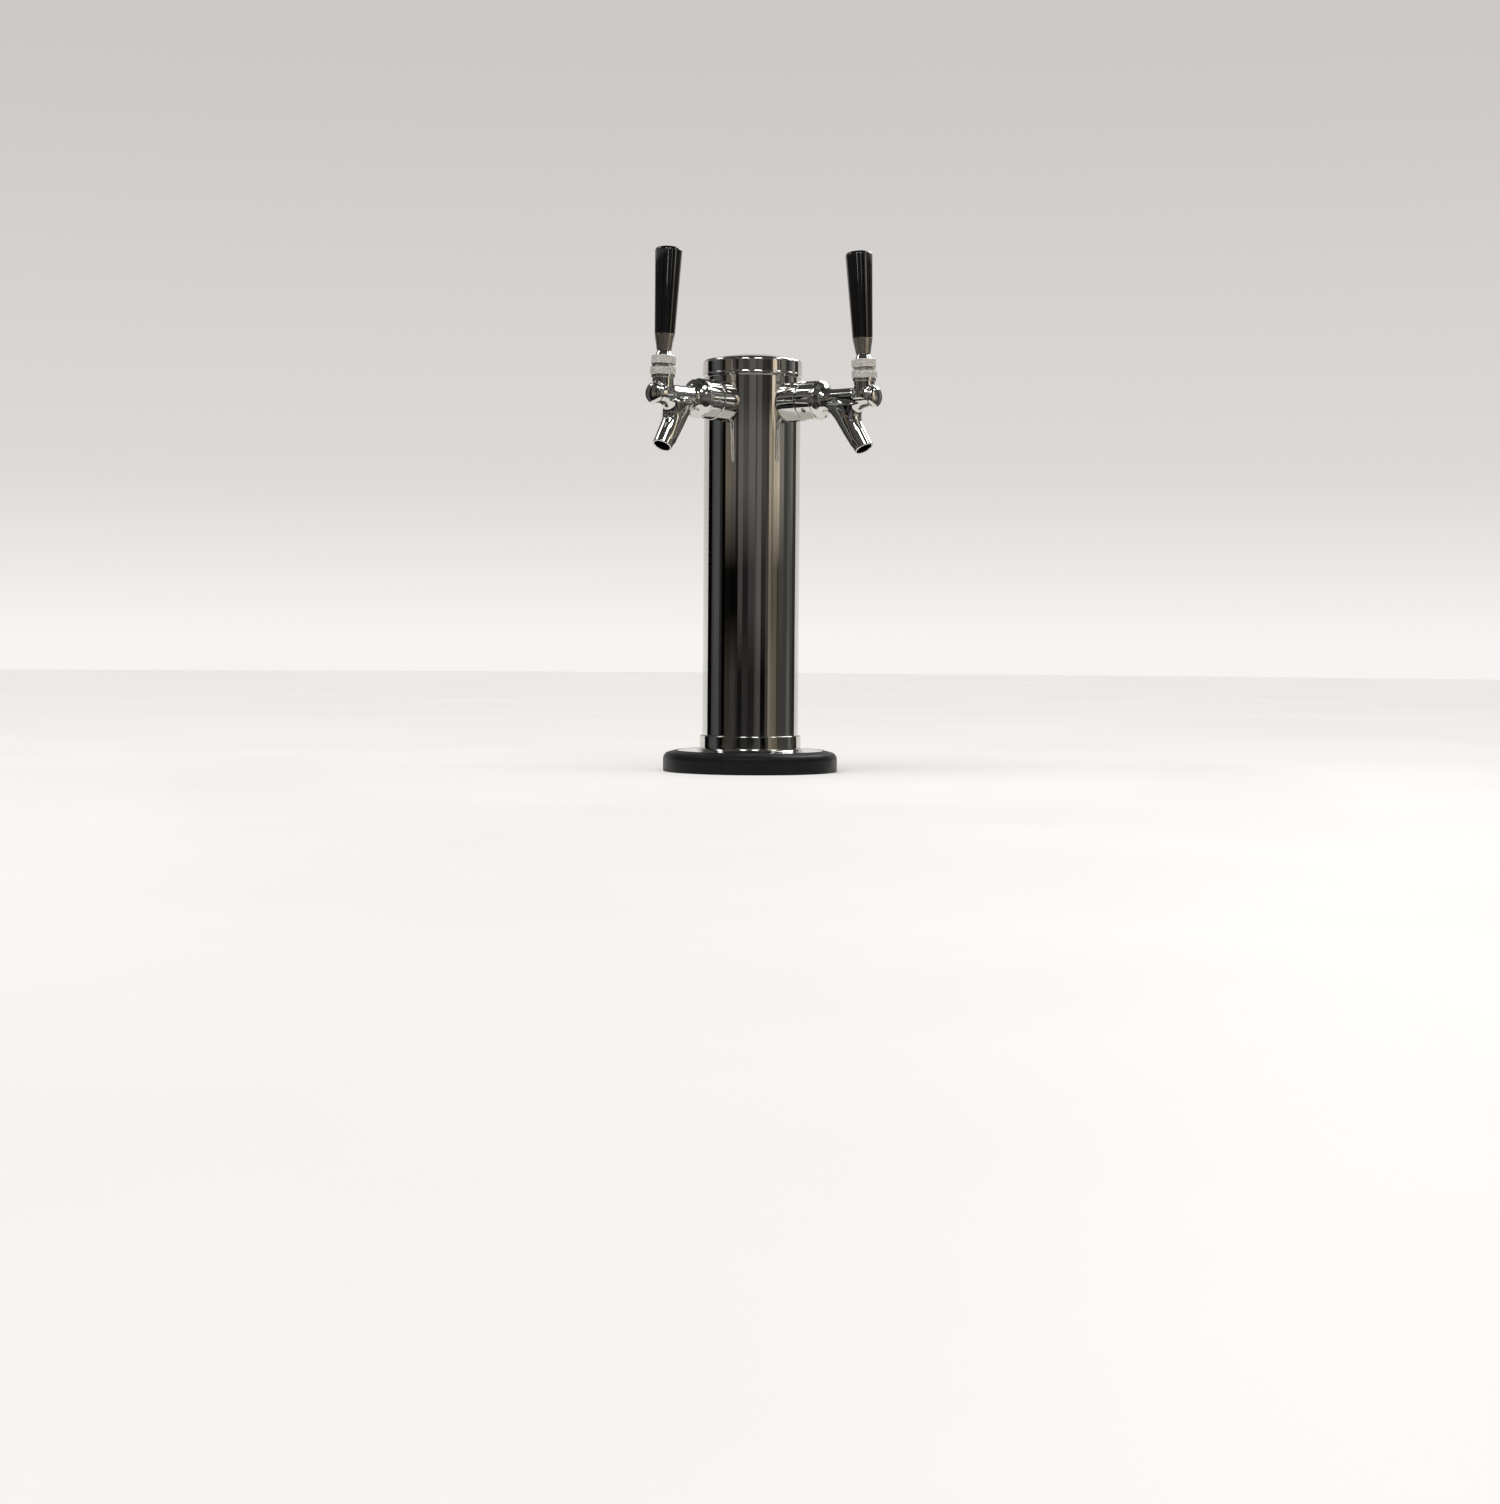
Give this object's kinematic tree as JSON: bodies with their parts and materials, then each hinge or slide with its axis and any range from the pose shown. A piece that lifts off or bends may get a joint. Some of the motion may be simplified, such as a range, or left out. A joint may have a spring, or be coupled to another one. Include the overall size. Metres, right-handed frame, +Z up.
{
  "type": "beer tap tower",
  "caption": "Draught beer tower: a polished 3-inch column with a press-on cap and base flange on a black riser ring, with angled chrome faucets whose black handles tip outward.",
  "frame": {"origin": "on the riser ring's underside, below the middle of the tower's outline; the column's axis stands 10.8 mm behind it", "axes": "+Z up along the column; -Y is the front, midway between the faucets; +X is to the right when the front is faced"},
  "size_m": [0.1816, 0.16, 0.4016],
  "materials": {
    "stainless_polished": "mirror-polished stainless steel tube",
    "chrome": "bright chrome plate over brass",
    "cap_chrome": "bright polished pressed stainless cap",
    "knurled_metal": "satin chrome with a fine straight knurl",
    "satin_metal": "satin plated ferrule with a warm grey-brown cast",
    "black_handle": "gloss black moulded plastic",
    "riser_black": "matte black moulded ring",
    "screw_steel": "plain stainless screws",
    "brass": "plain machined brass",
    "inner_steel": "turned stainless, unpolished",
    "nylon": "off-white nylon",
    "black_rubber": "black seat rubber"
  },
  "bodies": {
    "tower": {"riser_ring": "riser_black", "base_flange": "chrome", "column_tube": "stainless_polished", "flange_screw_1": "screw_steel", "flange_screw_2": "screw_steel", "flange_screw_3": "screw_steel", "flange_screw_4": "screw_steel", "left_saddle": "chrome", "left_shank": "brass", "left_shank_washer": "inner_steel", "left_shank_locknut": "brass", "left_shank_elbow": "inner_steel", "left_coupling_nut": "chrome", "left_coupling_washer": "nylon", "left_faucet_body": "chrome", "left_bonnet": "knurled_metal", "left_lever_bushing": "nylon", "right_saddle": "chrome", "right_shank": "brass", "right_shank_washer": "inner_steel", "right_shank_locknut": "brass", "right_shank_elbow": "inner_steel", "right_coupling_nut": "chrome", "right_coupling_washer": "nylon", "right_faucet_body": "chrome", "right_bonnet": "knurled_metal", "right_lever_bushing": "nylon"},
    "cap": {"top_cap": "cap_chrome"},
    "left_lever": {"left_lever": "inner_steel", "left_lever_collar": "knurled_metal", "left_handle_ferrule": "satin_metal", "left_handle_grip": "black_handle"},
    "left_shaft": {"left_shaft": "inner_steel", "left_seat_washer": "black_rubber", "left_shaft_nut": "brass"},
    "right_lever": {"right_lever": "inner_steel", "right_lever_collar": "knurled_metal", "right_handle_ferrule": "satin_metal", "right_handle_grip": "black_handle"},
    "right_shaft": {"right_shaft": "inner_steel", "right_seat_washer": "black_rubber", "right_shaft_nut": "brass"}
  },
  "joints": [
    {"name": "cap_lift", "type": "slide", "parent": "tower", "child": "cap", "axis": [0, 0, 1], "range_m": [0, 0.04]},
    {"name": "left_tap", "type": "hinge", "parent": "tower", "child": "left_lever", "pos_m": [-0.07722, -0.06638, 0.3041], "axis": [0.7071, -0.7071, 0], "range_deg": [0, 24]},
    {"name": "left_valve", "type": "slide", "parent": "tower", "child": "left_shaft", "axis": [0.7071, 0.7071, 0], "range_m": [0, 0.0062]},
    {"name": "right_tap", "type": "hinge", "parent": "tower", "child": "right_lever", "pos_m": [0.07722, -0.06638, 0.3041], "axis": [0.7071, 0.7071, 0], "range_deg": [0, 24]},
    {"name": "right_valve", "type": "slide", "parent": "tower", "child": "right_shaft", "axis": [-0.7071, 0.7071, 0], "range_m": [0, 0.0062]}
  ],
  "couplings": [
    {"joint": "left_valve", "follows": "left_tap", "m_per_rad": 0.01385},
    {"joint": "right_valve", "follows": "right_tap", "m_per_rad": 0.01385}
  ]
}
